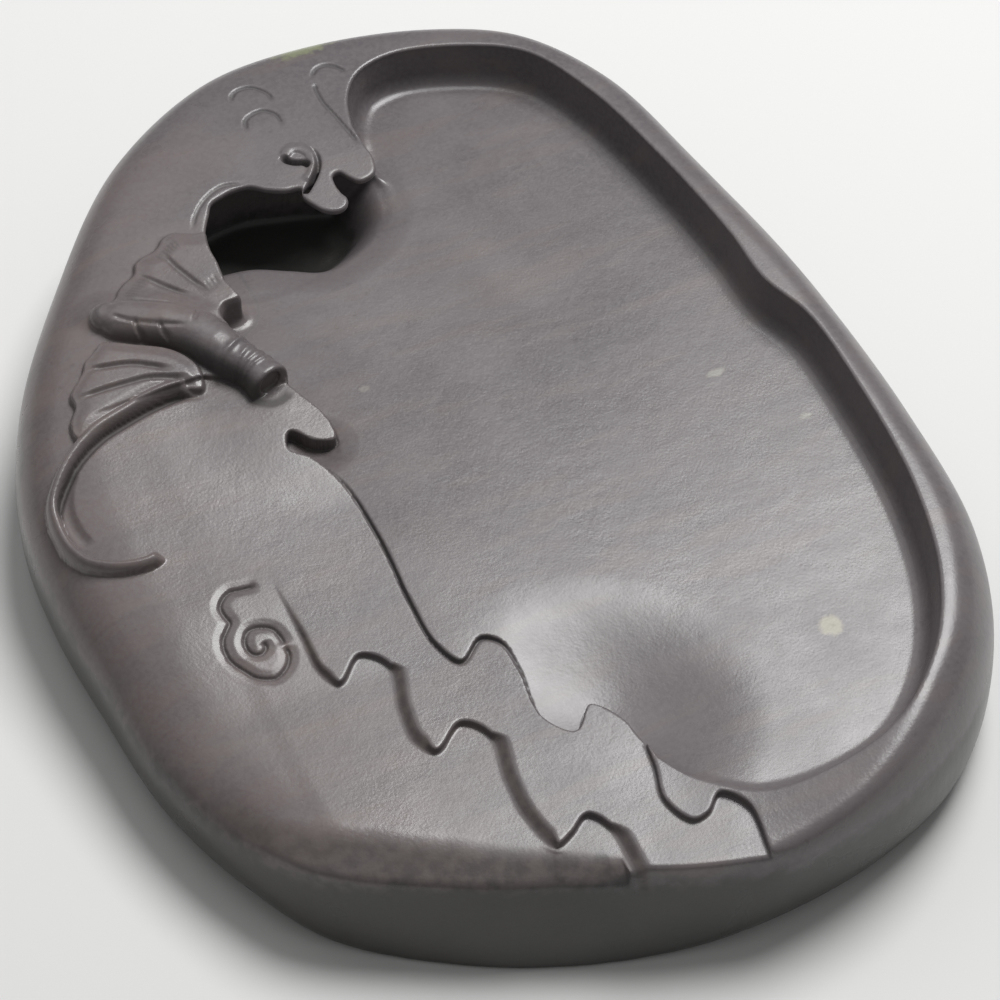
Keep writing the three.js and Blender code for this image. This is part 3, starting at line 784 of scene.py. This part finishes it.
class Shader:
    """A few shorthands for wiring the nodes of one material."""

    def __init__(self, name):
        self.material = bpy.data.materials.new(name)
        self.material.use_nodes = True
        self.tree = self.material.node_tree
        self.surface = self.tree.nodes["Principled BSDF"]
        place = self.node("ShaderNodeTexCoord")
        # Places in the rock are given in millimetres of the CAD frame.
        self.place = self.vector("SCALE", place.outputs["Object"], scale=1 / MM)

    def node(self, kind, **settings):
        made = self.tree.nodes.new(kind)
        for key, value in settings.items():
            setattr(made, key, value)
        return made

    def put(self, socket, value):
        if isinstance(value, bpy.types.NodeSocket):
            self.tree.links.new(value, socket)
        else:
            socket.default_value = value

    def attribute(self, name):
        return self.node("ShaderNodeAttribute", attribute_name=name).outputs["Fac"]

    def vector(self, operation, first, second=None, scale=None):
        made = self.node("ShaderNodeVectorMath", operation=operation)
        self.put(made.inputs[0], first)
        if second is not None:
            self.put(made.inputs[1], second)
        if scale is not None:
            self.put(made.inputs["Scale"], scale)
        return made.outputs["Value" if operation == "DISTANCE" else "Vector"]

    def math(self, operation, first, second):
        made = self.node("ShaderNodeMath", operation=operation)
        self.put(made.inputs[0], first)
        self.put(made.inputs[1], second)
        return made.outputs[0]

    def span(self, value, low, high, start=0.0, end=1.0):
        """value mapped smoothly from low...high to start...end."""
        made = self.node("ShaderNodeMapRange", interpolation_type="SMOOTHSTEP")
        for socket, given in zip(made.inputs[:5], (value, low, high, start, end)):
            self.put(socket, given)
        return made.outputs["Result"]

    def noise(self, size, detail, stretch=(1, 1, 1), turn=0.0, distortion=0.0):
        """Noise whose grain is size millimetres, stretched along turned axes."""
        mapping = self.node("ShaderNodeMapping")
        self.put(mapping.inputs["Vector"], self.place)
        self.put(mapping.inputs["Rotation"], (0, 0, math.radians(turn)))
        self.put(mapping.inputs["Scale"], tuple(1 / (size * s) for s in stretch))
        made = self.node("ShaderNodeTexNoise")
        self.put(made.inputs["Vector"], mapping.outputs["Vector"])
        self.put(made.inputs["Scale"], 1.0)
        self.put(made.inputs["Detail"], detail)
        self.put(made.inputs["Distortion"], distortion)
        return made.outputs["Fac"]

    def mix(self, factor, first, second):
        made = self.node("ShaderNodeMix", data_type="RGBA")
        self.put(made.inputs["Factor"], factor)
        self.put(made.inputs["A"], first)
        self.put(made.inputs["B"], second)
        return made.outputs["Result"]

    def layer(self, colour, noise, low, high, amount, tint):
        """Tints the rock by up to amount where a noise goes from low to high."""
        return self.mix(self.span(noise, low, high, 0.0, amount), colour, tint)

    def coat(self, colour, cover, amount, tint):
        """Tints the rock by up to amount where a cover lies on it."""
        return self.mix(self.math("MULTIPLY", cover, amount), colour, tint)

    def spot(self, colour, centre, radius, soft, tint, shape, amount):
        """Tints the rock round a centre."""
        away = self.vector("SUBTRACT", self.place, centre)
        away = self.vector("MULTIPLY", away, tuple(1 / s for s in shape))
        ragged = self.span(self.noise(1.5, 3.0), 0.3, 0.7, -0.25, 0.25)
        distance = self.math("ADD", self.vector("DISTANCE", away, (0, 0, 0)), ragged)
        factor = self.span(distance, radius - soft, radius + soft, amount, 0.0)
        return self.mix(factor, colour, tint)


def plain_rock(rock, x):
    """Soft clouds, warmer to the left, with bands, veins, specks and grain."""
    clouds = rock.span(rock.noise(38, 3.0, distortion=0.6), 0.3, 0.7)
    colour = rock.mix(clouds, DARK_CLOUD, PALE_CLOUD)
    side = rock.math("ADD", x, rock.span(rock.noise(24, 3.0), 0.2, 0.8, -22.0, 22.0))
    colour = rock.layer(colour, side, 5.0, -60.0, 0.75, WARM_ROCK)
    bands = rock.noise(7, 4.0, stretch=(7, 1, 1), turn=28)
    colour = rock.layer(colour, bands, 0.42, 0.62, 0.34, BAND_ROCK)
    veins = rock.noise(4.5, 5.0, stretch=(5, 1, 1), turn=34)
    colour = rock.layer(colour, veins, 0.52, 0.7, 0.4, VEIN)
    colour = rock.layer(colour, rock.noise(1.6, 3.0), 0.6, 0.75, 0.35, SPECK)
    return rock.layer(colour, rock.noise(0.9, 2.0), 0.35, 0.65, 0.4, GRAIN)


def rock_colour(rock, skin, painted_shade):
    """The plain rock, under bark, painted shade, the raw side and the inclusions."""
    axes = rock.node("ShaderNodeSeparateXYZ")
    rock.put(axes.inputs[0], rock.place)
    x, y, z = axes.outputs
    colour = plain_rock(rock, x)
    mottle = rock.span(rock.noise(2.6, 5.0), 0.35, 0.65)
    bark = rock.mix(mottle, DARK_BARK, PALE_BARK)
    colour = rock.coat(colour, skin, 0.8, bark)
    # Painted shade darkens the grooves and the foot of the bat's body.
    colour = rock.coat(colour, painted_shade, 0.7, SHADE_COLOUR)
    # The side is left raw and dark below a ragged line, which is higher at the near end.
    height = rock.math("SUBTRACT", z, rock.span(y, *RAW_LIFT_Y, 0.0, RAW_LIFT))
    height = rock.math("ADD", height, rock.math("MULTIPLY", mottle, 1.5))
    colour = rock.coat(colour, rock.span(height, *RAW_SIDE_Z), 0.85, RAW_SIDE)
    for inclusion in INCLUSIONS:
        colour = rock.spot(colour, *inclusion)
    return colour


def rock_roughness(rock, skin, painted_shade):
    """A satin finish that is duller on the bark and where shade is painted."""
    sheen = rock.span(rock.noise(14, 4.0), 0.3, 0.7, 0.26, 0.34)
    bark, dull_in_shade = rock.math("MULTIPLY", skin, 0.22), rock.math("MULTIPLY", painted_shade, 0.35)
    return rock.math("ADD", sheen, rock.math("ADD", bark, dull_in_shade))


def rock_bump(rock):
    """Fine grain and the slight waviness of a honed face."""
    fine = rock.math("MULTIPLY", rock.noise(0.5, 3.0), 0.25)
    wavy = rock.math("MULTIPLY", rock.noise(3.5, 2.0), 0.45)
    bump = rock.node("ShaderNodeBump")
    rock.put(bump.inputs["Height"], rock.math("ADD", fine, wavy))
    rock.put(bump.inputs["Strength"], 0.5)
    rock.put(bump.inputs["Distance"], BUMP)
    return bump.outputs["Normal"]


def slate():
    """Honed purple-grey slate with a few pale green inclusions."""
    rock = Shader("slate")
    # The second map is the painted shade.
    skin, painted_shade = rock.attribute("skin"), rock.attribute("painted_shade")
    rock.put(rock.surface.inputs["Base Color"], rock_colour(rock, skin, painted_shade))
    rock.put(rock.surface.inputs["Roughness"], rock_roughness(rock, skin, painted_shade))
    rock.put(rock.surface.inputs["Normal"], rock_bump(rock))
    return rock.material


# ---- the studio ------------------------------------------------------------------------
CAMERA_AIM = Vector((-1.0, -18.95, 27.0))           # in millimetres of the CAD frame
CAMERA_BACK = Vector((-0.2717, -0.5826, 0.7660)).normalized()   # from the aim to the camera
CAMERA_DISTANCE = 632.5
LENS = 135.25                     # focal length, for a sensor SENSOR wide
SENSOR = 36
LAMP_DISTANCE = 1.2               # metres
FLOOR_HALF = 3.0                  # metres
FLOOR_COLOUR = (0.8, 0.8, 0.79, 1)
AMBIENT = (0.21, 0.21, 0.21, 1)


def camera():
    data = bpy.data.cameras.new("camera")
    data.lens = LENS
    data.sensor_width = SENSOR
    data.clip_start = 0.01
    placed = link("camera", data)
    placed.location = CAMERA_AIM * MM + CAMERA_BACK * CAMERA_DISTANCE * MM
    placed.rotation_euler = (-CAMERA_BACK).to_track_quat("-Z", "Y").to_euler()
    bpy.context.scene.camera = placed


def studio_floor():
    corners = [(x * FLOOR_HALF, y * FLOOR_HALF, 0) for x, y in (
        (-1, -1), (1, -1), (1, 1), (-1, 1))]
    mesh = bpy.data.meshes.new("floor")
    mesh.from_pydata(corners, [], [(0, 1, 2, 3)])
    ground = link("floor", mesh)
    material = bpy.data.materials.new("floor")
    material.use_nodes = True
    shader = material.node_tree.nodes["Principled BSDF"]
    shader.inputs["Base Color"].default_value = FLOOR_COLOUR
    shader.inputs["Roughness"].default_value = 0.9
    mesh.materials.append(material)


def lamp(name, turn, height, size, energy):
    """A round soft light; turn is measured to the right of the camera's view, in plan."""
    ahead = Vector((-CAMERA_BACK.x, -CAMERA_BACK.y, 0)).normalized()
    right = Vector((ahead.y, -ahead.x, 0))
    turn, height = math.radians(turn), math.radians(height)
    way = (ahead * math.cos(turn) + right * math.sin(turn)) * math.cos(height)
    way += Vector((0, 0, math.sin(height)))
    data = bpy.data.lights.new(name, "AREA")
    data.shape = "DISK"
    data.size = size
    data.energy = energy
    light = link(name, data)
    light.location = way * LAMP_DISTANCE
    light.rotation_euler = way.to_track_quat("Z", "Y").to_euler()


def lights():
    lamp("window", turn=31, height=60, size=0.62, energy=13)
    lamp("fill", turn=-38, height=52, size=0.8, energy=1.4)
    world = bpy.data.worlds.new("studio")
    world.use_nodes = True
    world.node_tree.nodes["Background"].inputs["Color"].default_value = AMBIENT
    bpy.context.scene.world = world


ink_stone()
camera()
studio_floor()
lights()
bpy.context.scene.view_settings.view_transform = "Standard"
